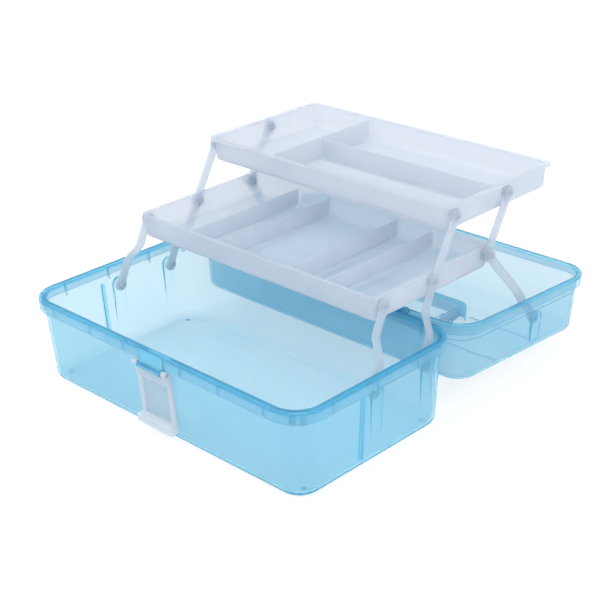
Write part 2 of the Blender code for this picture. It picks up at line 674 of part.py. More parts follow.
def make_side(side, lid_axis):
    """All links and pins of one end of the box."""
    end = "right" if side == RIGHT else "left"
    tray_half = TRAY_LENGTH / 2
    inner_head = OUTER_ARM_X - EYE_THICKNESS / 2 - FACE_GAP - PIN_HEAD
    outer_face = INNER_ARM_X + EYE_THICKNESS / 2 + FACE_GAP
    link_face = LINK_EYE_X + EYE_THICKNESS / 2 + FACE_GAP
    arms = {
        "front_arm": ("tub_front", "lower_front", None),
        "main_arm": ("tub_rear", "lower_middle", "upper_front"),
    }
    for label, (start, middle, beyond) in arms.items():
        top = None if beyond is None else PIVOTS[beyond]
        arm = stepped_arm(f"{label}_{end}", side, PIVOTS[start], PIVOTS[middle], top)
        pin = headed_pin(f"{label}_tub_pin_{end}", side, inner_head,
                         OUTER_ARM_X + EYE_THICKNESS / 2, PIVOTS[start], False, MILKY)
        axis = axis_empty(f"{label}_axis_{end}", PIVOTS[middle])
        hang_on(arm, axis)
        hang_on(pin, axis)
    rear = link(f"rear_arm_{end}", side, [PIVOTS["lower_rear"], PIVOTS["upper_rear"]], [0, 1],
                [INNER_ARM_X, INNER_ARM_X])
    hang_on(rear, axis_empty(f"rear_arm_axis_{end}", PIVOTS["lower_rear"]))
    lid_link(f"lid_link_{end}", side)
    head_x = tray_half - TRAY_INSET - PIN_HEAD - FACE_GAP
    tray_pins = {
        "lower_tray": ("lower_front", "lower_middle", "lower_rear"),
        "upper_tray": ("upper_front", "upper_rear"),
    }
    for tray, pivots in tray_pins.items():
        for pivot in pivots:
            face = link_face if pivot == "lower_rear" else outer_face
            place = pivot.split("_")[1]
            headed_pin(f"{tray}_pin_{place}_{end}", side, head_x, face + PIN_HEAD,
                       PIVOTS[pivot], True, MILKY)
    lid_pin = headed_pin(f"lid_link_pin_{end}", side, inner_head, BOSS_FACE_X + LID_PIN_ENTERS,
                         LID_PIVOT, False, MILKY)
    hang_on(lid_pin, lid_axis)


# ------------------------------------------------------------- latch, handle
def latch_profile_block(name, low, high, half_width, material=None):
    """A block in the latch's own upright frame: (y, z) from its pivot."""
    return block(name, (-half_width, low[0], low[1]), (half_width, high[0], high[1]), material)


def make_latch():
    """Modelled upright, as when shut, about its own pivot, then hung open."""
    half = LATCH_WIDTH / 2
    barrel = LATCH_BARREL_RADIUS
    outer = -barrel
    inner = outer + LATCH_PLATE
    tip = -HALF_WIDTH + RIM_OVERHANG + WALL_SLOPE * (CATCH_TOP_Z - SHUT_LID_RIM_Z)
    hook_inner = tip - CATCH_PROUD + LATCH_HOOK_BITE - LATCH_AXIS.y
    latch = latch_profile_block("latch", (outer, barrel + MM), (inner, LATCH_REACH), half, MILKY)
    hook = latch_profile_block("latch_hook", (outer + LATCH_STEP, LATCH_REACH - LATCH_HOOK),
                               (hook_inner, LATCH_REACH - LATCH_STEP), half - LATCH_STEP)
    combine(latch, hook, "UNION")
    origin = Vector((0, 0, 0))
    for side in (LEFT, RIGHT):
        edge = half - LATCH_STEP / 2
        label = f"latch_prong_{side}"
        combine(latch, rod(label, side * (edge - LATCH_PRONG), side * edge, origin, barrel),
                "UNION")
        low_x, high_x = sorted((side * (edge - LATCH_PRONG + LATCH_STEP / 2),
                                side * (edge - LATCH_STEP / 2)))
        combine(latch, block(f"{label}_neck", (low_x, outer + LATCH_STEP / 2, 0),
                             (high_x, inner + LATCH_STEP / 2, barrel + LATCH_PLATE)), "UNION")
        combine(latch, rod(f"{label}_bore", side * (half - LATCH_PRONG - MM), side * (half + MM),
                           origin, LATCH_PIN_RADIUS + PIN_CLEARANCE, steps=PIN_STEPS),
                "DIFFERENCE")
    panel_low = barrel + LATCH_BAR
    panel_high = LATCH_REACH - LATCH_HOOK - LATCH_PANEL_SUNK
    panel = latch_profile_block("latch_panel", (inner - LATCH_PANEL_SUNK, panel_low),
                                (inner + 2 * MM, panel_high), half - LATCH_BAND)
    combine(latch, panel, "DIFFERENCE")
    settle(latch)
    latch.location = LATCH_AXIS
    latch.rotation_euler = (math.pi + LATCH_HANG_TILT, 0, 0)
    return latch


def make_latch_pin():
    reach = LATCH_WIDTH / 2 - MM / 2
    return settle(rod("latch_pin", -reach, reach, LATCH_AXIS, LATCH_PIN_RADIUS, MILKY,
                      steps=PIN_STEPS))


def make_handle(lid_axis):
    """A flat bail folded into the recess, its stubs in the recess's end walls."""
    pivot = Vector((0, 0, shut_z(0) - HANDLE_PIVOT_DEPTH))
    half = RECESS_LENGTH / 2 - HANDLE_GAP
    bar = HANDLE_BAR / 2
    grip_y = -HANDLE_REACH
    outline = bpy.data.curves.new("handle", "CURVE")
    outline.dimensions = "3D"
    outline.bevel_depth = bar
    outline.bevel_resolution = 3
    outline.use_fill_caps = True
    spline = outline.splines.new("POLY")
    route = [Vector((-half + bar, 0, 0))]
    for corner, start in ((-1, math.pi), (1, math.pi * 3 / 2)):
        centre = Vector((corner * (half - bar - HANDLE_BEND), grip_y + HANDLE_BEND, 0))
        for step in range(6):
            angle = start + math.pi / 2 * step / 5
            route.append(centre + HANDLE_BEND * Vector((math.cos(angle), math.sin(angle), 0)))
    route.append(Vector((half - bar, 0, 0)))
    spline.points.add(len(route) - 1)
    for point, place in zip(spline.points, route):
        point.co = (*(place + pivot), 1)
    curve = bpy.data.objects.new("handle_route", outline)
    cutters.objects.link(curve)
    bpy.context.view_layer.update()
    evaluated = curve.evaluated_get(bpy.context.evaluated_depsgraph_get())
    mesh = bpy.data.meshes.new_from_object(evaluated)
    mesh.transform(curve.matrix_world)
    bpy.data.objects.remove(curve, do_unlink=True)
    shape = bmesh.new()
    shape.from_mesh(mesh)
    bmesh.ops.remove_doubles(shape, verts=shape.verts, dist=MM / 100)
    bmesh.ops.recalc_face_normals(shape, faces=shape.faces)
    shape.to_mesh(mesh)
    shape.free()
    mesh.materials.clear()
    handle = new_object("handle", mesh, MILKY)
    stub_tip = RECESS_LENGTH / 2 + HANDLE_STUB
    for side in (LEFT, RIGHT):
        inner_x = side * (half - 2 * bar + HANDLE_HUB_EXTRA)
        combine(handle, rod(f"handle_hub_{side}", inner_x, side * half, pivot,
                            bar + HANDLE_HUB_EXTRA), "UNION")
        combine(handle, rod(f"handle_stub_{side}", side * (half - MM), side * stub_tip, pivot,
                            HANDLE_STUB_RADIUS, steps=PIN_STEPS), "UNION")
    settle(handle)
    hinge_to_pivot = pivot - lid_axis.location
    handle_axis = axis_empty("handle_axis", hinge_to_pivot)
    handle_axis.parent = lid_axis
    handle.data.transform(Matrix.Translation(-pivot))
    handle.parent = handle_axis
    return handle


def make_hinge_pins():
    reach = 1.5 * KNUCKLE_LENGTH + FACE_GAP - MM / 4
    for label, middle in (("left", -HINGE_SPACING / 2), ("right", HINGE_SPACING / 2)):
        settle(rod(f"hinge_pin_{label}", middle - reach, middle + reach, HINGE,
                   HINGE_PIN_RADIUS, MILKY, steps=PIN_STEPS))


def main():
    lid_axis = axis_empty("lid_axis", HINGE, -LID_OPEN_ANGLE)
    make_tub()
    make_lid(lid_axis)
    make_hinge_pins()
    make_latch()
    make_latch_pin()
    make_handle(lid_axis)
    lower_front, upper_front = PIVOTS["lower_front"], PIVOTS["upper_front"]
    make_tray("lower_tray", LOWER_TRAY_WIDTH, lower_front.y - LOWER_PIVOT_FROM_FRONT,
              lower_front.z + LOWER_PIVOT_BELOW_RIM, LOWER_DIVIDER_DROP, lower_pockets,
              ("lower_front", "lower_middle", "lower_rear"))
    make_tray("upper_tray", UPPER_TRAY_WIDTH, upper_front.y - UPPER_PIVOT_FROM_FRONT,
              upper_front.z + UPPER_PIVOT_BELOW_RIM, UPPER_DIVIDER_DROP, upper_pockets,
              ("upper_front", "upper_rear"))
    for side in (LEFT, RIGHT):
        make_side(side, lid_axis)


main()
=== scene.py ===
import json
import math

import bmesh
import bpy
from mathutils import Matrix, Vector

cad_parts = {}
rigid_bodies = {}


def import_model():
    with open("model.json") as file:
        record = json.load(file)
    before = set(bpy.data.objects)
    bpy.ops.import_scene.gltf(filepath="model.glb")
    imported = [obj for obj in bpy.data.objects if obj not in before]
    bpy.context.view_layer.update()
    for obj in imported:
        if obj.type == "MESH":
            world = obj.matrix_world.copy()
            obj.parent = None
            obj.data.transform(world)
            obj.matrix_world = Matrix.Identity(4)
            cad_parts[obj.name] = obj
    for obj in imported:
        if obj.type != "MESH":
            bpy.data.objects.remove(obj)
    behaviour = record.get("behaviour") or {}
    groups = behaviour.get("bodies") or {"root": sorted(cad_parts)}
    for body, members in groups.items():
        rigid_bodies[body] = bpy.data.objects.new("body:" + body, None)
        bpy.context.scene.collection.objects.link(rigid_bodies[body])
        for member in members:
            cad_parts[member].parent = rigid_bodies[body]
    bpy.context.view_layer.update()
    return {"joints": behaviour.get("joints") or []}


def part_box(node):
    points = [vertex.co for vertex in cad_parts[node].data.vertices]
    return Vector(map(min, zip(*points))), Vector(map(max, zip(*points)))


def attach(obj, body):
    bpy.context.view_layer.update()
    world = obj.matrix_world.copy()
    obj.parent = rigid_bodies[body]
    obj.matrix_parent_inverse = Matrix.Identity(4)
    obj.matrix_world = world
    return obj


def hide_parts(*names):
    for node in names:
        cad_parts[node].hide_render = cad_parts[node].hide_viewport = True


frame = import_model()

mm = 0.001
right, left = 1, -1

joints = {joint["name"]: joint for joint in frame["joints"]}
scene = bpy.context.scene

# tools and cutters live here and are gone at the end
bench = bpy.data.collections.new("bench")
scene.collection.children.link(bench)


def jointAt(name):
    return Vector(joints[name]["pos_m"])


def flat(point):
    # its place in the side view
    return Vector((0, point.y, point.z))


def middleOf(node):
    low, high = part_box(node)
    return (low + high) / 2


class Signal:
    # wraps a socket, so that shader sums read like sums
    def __init__(self, shading, socket):
        self.shading = shading
        self.socket = socket

    def sum(self, operation, *values):
        return self.shading.node("ShaderNodeMath", dict(operation=operation), values)

    def __add__(self, other):
        return self.sum("ADD", self, other)

    def __radd__(self, other):
        return self.sum("ADD", other, self)

    def __sub__(self, other):
        return self.sum("SUBTRACT", self, other)

    def __rsub__(self, other):
        return self.sum("SUBTRACT", other, self)

    def __mul__(self, other):
        return self.sum("MULTIPLY", self, other)

    def __rmul__(self, other):
        return self.sum("MULTIPLY", other, self)

    def above(self, low, high):
        # 0 at low, 1 at high, eased between
        ramp = dict(data_type="FLOAT", interpolation_type="SMOOTHSTEP", clamp=True)
        return self.shading.node("ShaderNodeMapRange", ramp, [self, low, high, 0.0, 1.0])


class Shading:
    def __init__(self, name):
        self.material = bpy.data.materials.new(name)
        self.material.use_nodes = True
        self.tree = self.material.node_tree
        self.tree.nodes.clear()
        self.out = self.tree.nodes.new("ShaderNodeOutputMaterial")
        self.place = self.node("ShaderNodeTexCoord", output="Object")

    def node(self, kind, settings=None, inputs=None, output=0):
        made = self.tree.nodes.new(kind)
        for key, value in (settings or {}).items():
            setattr(made, key, value)
        pairs = inputs.items() if isinstance(inputs, dict) else enumerate(inputs or [])
        for key, value in pairs:
            if isinstance(value, Signal):
                self.tree.links.new(value.socket, made.inputs[key])
            elif value is not None:
                made.inputs[key].default_value = value
        return Signal(self, made.outputs[output])

    def along(self, axis):
        return self.node("ShaderNodeSeparateXYZ", None, {"Vector": self.place}, axis)

    def noise(self, scale, detail, stretch):
        spread = self.node("ShaderNodeMapping", None, {"Vector": self.place, "Scale": stretch})
        return self.node("ShaderNodeTexNoise", None,
                         {"Vector": spread, "Scale": scale, "Detail": detail}, "Fac")

    def bump(self, height, strength, distance):
        return self.node("ShaderNodeBump", None,
                         {"Strength": strength, "Distance": distance, "Height": height})

    def mix(self, share, first, second):
        return self.node("ShaderNodeMixShader", None, [share, first, second])

    def finish(self, surface, volume=None):
        self.tree.links.new(surface.socket, self.out.inputs["Surface"])
        if volume is not None:
            self.tree.links.new(volume.socket, self.out.inputs["Volume"])
        return self.material


def band(value, middle, half, soft):
    # 1 within half of middle, 0 beyond
    away = value.shading.node("ShaderNodeMath", dict(operation="ABSOLUTE"), [value - middle])
    return 1 - away.above(half, half + soft)


# grain of moulded plastic: flow marks from the mould, and scuffs along X
grain = dict(flowDetail=4.0, flowStretch=(1, 2.2, 1.4), bumpDepth=0.6 * mm, flowRough=0.05,
             scuffScale=60.0, scuffDetail=5.0, scuffStretch=(1, 9, 9), scuffSpan=(0.62, 0.78),
             cloudLeast=0.85, cloudSpread=0.3)


def seeThrough(name, look, masks=None):
    # clear glassy skin with a share of milk in it that scatters both ways;
    # masks says where more plastic lies in line and where there is more milk
    make = Shading(name)
    g = grain
    flow = make.noise(look["flow"], g["flowDetail"], g["flowStretch"])
    scuffs = make.noise(g["scuffScale"], g["scuffDetail"], g["scuffStretch"]).above(*g["scuffSpan"])
    normal = make.bump(flow, look["ripple"], g["bumpDepth"])
    roughness = look["roughness"] + flow * g["flowRough"] + scuffs * look["scuffs"]
    thick, milky = masks(make) if masks else (None, None)
    colour = (*look["clear"], 1)
    if thick is not None:
        colour = make.node("ShaderNodeMix", dict(data_type="RGBA"),
                           {0: thick, 6: colour, 7: (*look["deep"], 1)}, 2)
    cloud = look["haze"] * (g["cloudLeast"] + flow * g["cloudSpread"])
    if milky is not None:
        cloud = cloud * (1 + milky)
    clear = make.node("ShaderNodeBsdfPrincipled", None, {
        "Base Color": colour, "Transmission Weight": 1.0, "IOR": look["ior"],
        "Roughness": roughness, "Normal": normal})
    near = make.node("ShaderNodeBsdfDiffuse", None,
                     {"Color": (*look["milk"], 1), "Roughness": 0.5, "Normal": normal})
    far = make.node("ShaderNodeBsdfTranslucent", None,
                    {"Color": (*look["milk"], 1), "Normal": normal})
    cloudy = make.mix(look["forward"], near, far)
    surface = make.mix(cloud, clear, cloudy)
    volume = None
    if "density" in look:
        volume = make.node("ShaderNodeVolumeAbsorption", None,
                           {"Color": (*look["tint"], 1), "Density": look["density"]})
    return make.finish(surface, volume)


# clear colours the glassy share, deep the same where more plastic lies in line, and milk the
# cloudy share; haze is how much is cloudy, and forward how much of that lets light through;
# tint and density colour the inside of the wall
blueLook = dict(clear=(0.97, 0.985, 0.985), deep=(0.31, 0.75, 0.92), milk=(0.23, 0.70, 0.96),
                haze=0.23, forward=0.5, ior=1.29, roughness=0.03, scuffs=0.06, ripple=0.10,
                flow=7.0, tint=(0.20, 0.92, 0.985), density=38.0)
trayLook = dict(clear=(0.90, 0.93, 0.965), milk=(0.80, 0.84, 0.91), haze=0.50, forward=0.5,
                ior=1.12, roughness=0.15, scuffs=0.0, ripple=0.03, flow=11.0)
armLook = dict(trayLook, milk=(0.76, 0.82, 0.89), haze=0.55)
latchLook = dict(trayLook, milk=(0.84, 0.88, 0.93), haze=0.70)
trayWhite = seeThrough("frosted_tray", trayLook)
armWhite = seeThrough("milky_arm", armLook)
print("plastics mixed")


def newPiece(name, shape):
    mesh = bpy.data.meshes.new(name)
    bmesh.ops.recalc_face_normals(shape, faces=shape.faces)
    shape.to_mesh(mesh)
    shape.free()
    piece = bpy.data.objects.new(name, mesh)
    bench.objects.link(piece)
    return piece


def loft(name, rings):
    # closed solid through rings of equal count
    shape = bmesh.new()
    loops = [[shape.verts.new(point) for point in ring] for ring in rings]
    for low, high in zip(loops, loops[1:]):
        for index in range(len(low)):
            following = (index + 1) % len(low)
            shape.faces.new((low[index], low[following], high[following], high[index]))
    shape.faces.new(loops[0])
    shape.faces.new(loops[-1])
    return newPiece(name, shape)


def roundBox(halfX, halfY, radius, steps=16, middle=(0, 0)):
    points = []
    for corner, (sx, sy) in enumerate(((1, 1), (-1, 1), (-1, -1), (1, -1))):
        for step in range(steps + 1):
            turn = math.pi / 2 * (corner + step / steps)
            points.append((middle[0] + sx * (halfX - radius) + radius * math.cos(turn),
                           middle[1] + sy * (halfY - radius) + radius * math.sin(turn)))
    return points


def bend(middle, radius, start, end, steps):
    # points of an arc, angles in degrees
    turns = [math.radians(start + (end - start) * step / steps) for step in range(steps + 1)]
    return [(middle[0] + radius * math.cos(turn), middle[1] + radius * math.sin(turn))
            for turn in turns]


def turned(name, profile, centre, side=right, steps=32):
    # profile of (x, radius) turned about the X axis through centre
    rings = []
    for x, radius in profile:
        rings.append([(side * x, centre.y + radius * math.cos(turn),
                       centre.z + radius * math.sin(turn))
                      for turn in (2 * math.pi * step / steps for step in range(steps))])
    return loft(name, rings)


def rod(name, fromX, toX, centre, radius, chamfer=0.0, side=right, steps=32):
    low, high = sorted((fromX, toX))
    profile = [(low, radius), (high, radius)]
    if chamfer:
        profile = [(low, radius - chamfer), (low + chamfer, radius),
                   (high - chamfer, radius), (high, radius - chamfer)]
    return turned(name, profile, centre, side, steps)


def upright(name, x, y, lowZ, highZ, radius, steps=28):
    ring = [(x + radius * math.cos(turn), y + radius * math.sin(turn))
            for turn in (2 * math.pi * step / steps for step in range(steps))]
    return loft(name, [[(px, py, z) for px, py in ring] for z in (lowZ, highZ)])


def block(name, low, high, radius=0.0):
    shape = bmesh.new()
    bmesh.ops.create_cube(shape, size=1)
    low, high = Vector(map(min, low, high)), Vector(map(max, low, high))
    bmesh.ops.scale(shape, vec=high - low, verts=shape.verts)
    bmesh.ops.translate(shape, vec=(low + high) / 2, verts=shape.verts)
    if radius:
        bmesh.ops.bevel(shape, geom=shape.edges[:], offset=radius, segments=3, profile=0.5,
                        affect="EDGES", clamp_overlap=True)
    return newPiece(name, shape)


def combine(piece, tool, operation="UNION"):
    step = piece.modifiers.new(operation, "BOOLEAN")
    step.operation = operation
    step.object = tool


def bake(piece):
    bpy.context.view_layer.update()
    seen = piece.evaluated_get(bpy.context.evaluated_depsgraph_get())
    mesh = bpy.data.meshes.new_from_object(seen)
    piece.modifiers.clear()
    piece.data = mesh
    mesh.name = piece.name
    return mesh


def settle(piece, material, sharp=32, place=None):
    # modifiers made final, flat faces kept flat and round ones smooth
    mesh = bake(piece)
    if place is not None:
        mesh.transform(place)
    mesh.shade_smooth()
    mesh.set_sharp_from_angle(angle=math.radians(sharp))
    weigh = piece.modifiers.new("weigh", "WEIGHTED_NORMAL")
    weigh.keep_sharp = True
    mesh = bake(piece)
    mesh.materials.clear()
    mesh.materials.append(material)


def keep(piece, body, slot, *nodes):
    bench.objects.unlink(piece)
    scene.collection.objects.link(piece)
    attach(piece, body)
    if nodes:
        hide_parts(*nodes)


def repeater():
    # one shape set down at many spots
    tree = bpy.data.node_groups.new("set_down", "GeometryNodeTree")
    sockets = tree.interface
    sockets.new_socket("Spots", in_out="INPUT", socket_type="NodeSocketGeometry")
    sockets.new_socket("Shape", in_out="INPUT", socket_type="NodeSocketObject")
    sockets.new_socket("Plastic", in_out="INPUT", socket_type="NodeSocketMaterial")
    sockets.new_socket("Pieces", in_out="OUTPUT", socket_type="NodeSocketGeometry")
    made = {}
    for name, kind in (("given", "NodeGroupInput"), ("shape", "GeometryNodeObjectInfo"),
                       ("turn", "GeometryNodeInputNamedAttribute"),
                       ("size", "GeometryNodeInputNamedAttribute"),
                       ("spin", "FunctionNodeEulerToRotation"),
                       ("set", "GeometryNodeInstanceOnPoints"),
                       ("real", "GeometryNodeRealizeInstances"),
                       ("paint", "GeometryNodeSetMaterial"), ("out", "NodeGroupOutput")):
        made[name] = tree.nodes.new(kind)
    for name in ("turn", "size"):
        made[name].data_type = "FLOAT_VECTOR"
        made[name].inputs["Name"].default_value = name

    def link(start, output, end, goal):
        tree.links.new(made[start].outputs[output], made[end].inputs[goal])

    link("given", "Shape", "shape", "Object")
    link("given", "Spots", "set", "Points")
    link("shape", "Geometry", "set", "Instance")
    link("turn", "Attribute", "spin", "Euler")
    link("spin", "Rotation", "set", "Rotation")
    link("size", "Attribute", "set", "Scale")
    link("set", "Instances", "real", "Geometry")
    link("real", "Geometry", "paint", "Geometry")
    link("given", "Plastic", "paint", "Material")
    link("paint", "Geometry", "out", "Pieces")
    return tree


setDown = repeater()


def repeated(name, shape, spots, material):
    # spots are (position, turn, size)
    mesh = bpy.data.meshes.new(name)
    mesh.from_pydata([position for position, turn, size in spots], [], [])
    for label, index in (("turn", 1), ("size", 2)):
        values = mesh.attributes.new(label, "FLOAT_VECTOR", "POINT")
        for spot, value in zip(spots, values.data):
            value.vector = spot[index]
    piece = bpy.data.objects.new(name, mesh)
    bench.objects.link(piece)
    step = piece.modifiers.new("set_down", "NODES")
    step.node_group = setDown
    given = {"Shape": shape, "Plastic": material}
    for item in setDown.interface.items_tree:
        if item.name in given:
            step[item.identifier] = given[item.name]
    return piece


# where things are, from the frame
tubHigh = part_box("base_tub")[1]
armLow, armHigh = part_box("front_arm_right")
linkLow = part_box("lid_link_right")[0]
pivots = dict(
    tubFront=middleOf("front_arm_tub_pin_right"),
    tubRear=middleOf("main_arm_tub_pin_right"),
    lowerFront=jointAt("front_arm_right_turn"),
    lowerMiddle=jointAt("main_arm_right_turn"),
    lowerRear=jointAt("rear_arm_right_turn"),
    upperFront=jointAt("upper_tray_turn"),
    upperRear=middleOf("upper_tray_pin_rear_right"),
    lid=jointAt("lid_link_right_turn"),
)
pivots = {name: flat(point) for name, point in pivots.items()}
hinge = jointAt("lid_fold")
openTurn = math.radians(joints["lid_fold"]["range_deg"][1])

pin = dict(radius=2.2 * mm, play=0.3 * mm, gap=0.3 * mm)
eye = dict(radius=5.4 * mm, thick=3 * mm, chamfer=0.35 * mm)
outerArmX = armHigh.x - eye["thick"] / 2
innerArmX = armLow.x + eye["thick"] / 2
linkEyeX = linkLow.x + eye["thick"] / 2
bossFaceX = armHigh.x + pin["gap"]

tub = dict(halfLength=tubHigh.x, halfWidth=90 * mm, height=76.4 * mm, corner=27 * mm,
           cornerLeast=6 * mm, overhang=3.4 * mm, rimThick=2.2 * mm, rimRound=0.9 * mm,
           skirt=10 * mm, skirtThick=1.7 * mm, skirtRound=0.5 * mm, slope=0.07, wall=2.8 * mm,
           floor=2.9 * mm, outerFillet=7.4 * mm, innerFillet=4.6 * mm, rebate=1.5 * mm,
           rebateDepth=0.4 * mm, rebateBevel=0.2 * mm, underFillet=0.6 * mm, ledge=30 * mm,
           ledgeStep=0)
lid = dict(tub, height=52.5 * mm, skirt=9 * mm, wall=1.3 * mm, floor=1.4 * mm,
           outerFillet=6.5 * mm, innerFillet=5.2 * mm, ledge=15 * mm, ledgeStep=0.8 * mm)
rimGap = 0.5 * mm
shutRimZ = tub["height"] + rimGap

# the lid is modelled mouth up, like the tub, then turned over to where it lies
lidPlace = (Matrix.Translation(hinge) @ Matrix.Rotation(-openTurn, 4, "X")
            @ Matrix.Translation(-hinge)
            @ Matrix.Translation((0, 0, shutRimZ + lid["height"]))
            @ Matrix.Rotation(math.pi, 4, "X"))
lidHinge = lidPlace.inverted() @ hinge
lidPivot = lidPlace.inverted() @ pivots["lid"]


def shellProfile(s):
    # (inset from the rim's edge, height above the closed end), outside first
    height = s["height"]

    def outer(z):
        return s["overhang"] + s["slope"] * (height - z)

    under, hem = height - s["rimThick"], height - s["skirt"]
    fillet, soft, edge = s["outerFillet"], s["underFillet"], s["skirtRound"]
    profile = bend((outer(fillet) + fillet, fillet), fillet, 270, 180, 8)
    profile += bend((outer(under) - soft, under - soft), soft, 0, 90, 4)
    profile += bend((s["skirtThick"] + soft, under - soft), soft, 90, 180, 4)
    profile += bend((s["skirtThick"] - edge, hem + edge), edge, 0, -90, 3)
    profile += bend((edge, hem + edge), edge, -90, -180, 3)
    profile += bend((s["rimRound"], height - s["rimRound"]), s["rimRound"], 180, 90, 5)
    innerEdge = outer(height) + s["wall"]
    step, bevel = innerEdge - s["rebate"], s["rebateBevel"]
    low = height - s["rebateDepth"]
    profile += [(step - bevel, height), (step, height - bevel / 2),
                (step + bevel / 4, low + bevel / 4), (step + bevel, low)]
    profile += bend((innerEdge - soft, low - soft), soft, 90, 0, 4)
    inner = s["innerFillet"]
    base = s["floor"] + inner
    ledge, thicker = height - s["ledge"], s["wall"] + s["ledgeStep"]    # thicker lower down
    profile += [(outer(ledge) + s["wall"], ledge),
                (outer(ledge) + thicker, ledge - s["ledgeStep"] - bevel / 2)]
    profile += bend((outer(base) + thicker + inner, base), inner, 180, 270, 8)
    return profile


def shell(name, s):
    rings = []
    for inset, z in shellProfile(s):
        radius = max(s["corner"] - inset, s["cornerLeast"])
        outline = roundBox(s["halfLength"] - inset, s["halfWidth"] - inset, radius)
        rings.append([(x, y, z) for x, y in outline])
    return loft(name, rings)


def wallX(s, z):
    return s["halfLength"] - s["overhang"] - s["wall"] - s["slope"] * (s["height"] - z)


def wallRib(name, s, side, faceX, y, half, lowZ, topZ, edge, domed):
    # a rib on the inside of an end wall; faceX gives its face at a height
    if domed:
        top = bend((y, topZ), half, 0, 180, 20)
    else:
        top = [(y + half, topZ), (y + half - edge, topZ + edge), (y - half + edge, topZ + edge),
               (y - half, topZ)]
    outline = [(y - half, lowZ), (y + half, lowZ)] + top
    centreZ = (lowZ + topZ) / 2

    def shrunk(point):
        dy = edge if point[0] < y else -edge
        dz = edge if point[1] < centreZ else -edge
        return (point[0] + dy, point[1] + dz)

    rings = [[(side * faceX(z), py, z) for py, z in map(shrunk, outline)],
             [(side * (faceX(z) + edge), py, z) for py, z in outline],
             [(side * max(wallX(s, z) + s["wall"] / 2, faceX(z) + 2 * edge), py, z)
              for py, z in outline]]
    return loft(name, rings)


recess = dict(halfLength=76 * mm, halfWidth=27 * mm, depth=14 * mm, corner=9 * mm,
              fillet=2 * mm)


bottomEdge = dict(wide=15 * mm, soft=4 * mm, milk=0.2)
# where the blue looks deeper: a mask fades between its two heights
tubMask = dict(soft=0.1 * mm, rim=(3.2 * mm, 2 * mm), rib=0.9, ribFoot=6 * mm, lug=0.7,
               lugOut=(2.8 * mm, 3.2 * mm), bottom=(3 * mm, 9 * mm))
lidMask = dict(soft=0.3 * mm, rim=(2.6 * mm, 1.4 * mm), rimDeep=0.9, plateau=0.22,
               plateauFoot=2 * mm, bottom=(2 * mm, 7 * mm))


def offMiddle(x, y, s, middle):
    # 1 along the edges of the flat bottom, 0 over most of it
    soft = bottomEdge["soft"]
    inset = bottomEdge["wide"] + soft
    return 1 - (band(x, 0, s["halfLength"] - inset, soft)
                * band(y, middle, s["halfWidth"] - inset, soft))


def tubDeep(make):
    # more plastic in line: the rim, the rib on each end wall and the latch's lug
    m = tubMask
    x, y, z = (make.along(axis) for axis in "XYZ")
    rim = z.above(tub["height"] - m["rim"][0], tub["height"] - m["rim"][1])
    inRib = band(y, rib["y"], rib["half"], m["soft"])
    belowTop = 1 - z.above(rib["top"], rib["top"] + mm)
    aboveFloor = z.above(tub["floor"], tub["floor"] + m["ribFoot"])
    outFront = 1 - y.above(latchAxis.y + m["lugOut"][0], latchAxis.y + m["lugOut"][1])
    inLug = band(x, 0, lug["half"] - lug["play"], lug["play"]) * outFront
    bottom = (1 - z.above(*m["bottom"])) * offMiddle(x, y, tub, 0)
    thick = rim + inRib * belowTop * aboveFloor * m["rib"] + inLug * m["lug"]
    return thick, bottom * bottomEdge["milk"]


def lidDeep(make):
    # the lid lies mouth up, its rim just under the hinge's height
    m = lidMask
    x, y, z = (make.along(axis) for axis in "XYZ")
    rimZ = hinge.z - rimGap / 2 - (y - hinge.y) * math.tan(openTurn - math.pi)
    level = z - rimZ
    height = level + lid["height"]
    bottom = (1 - height.above(*m["bottom"])) * offMiddle(x, y, lid, 2 * hinge.y)
    edge = recess["fillet"] + lid["wall"]
    plateau = (band(x, 0, recess["halfLength"] + lid["wall"], m["soft"])
               * band(y, 2 * hinge.y, recess["halfWidth"] + lid["wall"], m["soft"])
               * height.above(edge, edge + m["plateauFoot"]))
    rim = level.above(-m["rim"][0], -m["rim"][1])
    return rim * m["rimDeep"] + plateau * m["plateau"], bottom * bottomEdge["milk"]


boss = dict(half=6 * mm, low=8 * mm, edge=0.5 * mm, socket=2.2 * mm)
rib = dict(y=-16 * mm, half=1.5 * mm, proud=1.6 * mm, top=62 * mm, edge=0.3 * mm)
hingeSize = dict(spacing=170 * mm, knuckle=12 * mm, radius=3.2 * mm, pin=1.5 * mm,
                 gap=0.3 * mm, play=0.3 * mm, chamfer=0.4 * mm)


def addKnuckles(piece, owner, axis):
    # tub, lid, tub at each hinge; the slots for the other shell's knuckles are cut clear
    h = hingeSize
    reach = 1.5 * (h["knuckle"] + h["gap"]) + h["gap"]
    for middle in (-h["spacing"] / 2, h["spacing"] / 2):
        for slot in (-1, 0, 1):
            centre = middle + slot * (h["knuckle"] + h["gap"])
            fromX, toX = centre - h["knuckle"] / 2, centre + h["knuckle"] / 2
            if owner == ("lid" if slot == 0 else "tub"):
                combine(piece, rod("knuckle", fromX, toX, axis, h["radius"], h["chamfer"]))
            else:
                combine(piece, rod("slot", fromX - h["gap"], toX + h["gap"], axis,
                                   h["radius"] + 2 * h["gap"]), "DIFFERENCE")
        combine(piece, rod("bore", middle - reach, middle + reach, axis,
                           h["pin"] + h["play"], steps=20), "DIFFERENCE")


latchAxis = jointAt("latch_swing")
lug = dict(half=13.9 * mm, radius=3.3 * mm, web=3 * mm, pin=1.5 * mm, play=0.3 * mm,
           chamfer=0.3 * mm)
marks = dict(x=139 * mm, y=66 * mm, radius=1.9 * mm, depth=1.8 * mm)
notch = dict(x=-28 * mm, y=-88.3 * mm, half=2.4 * mm, wide=0.8 * mm, depth=0.9 * mm)


blueTub = seeThrough("clear_blue_tub", blueLook, tubDeep)
blueLid = seeThrough("clear_blue_lid", blueLook, lidDeep)


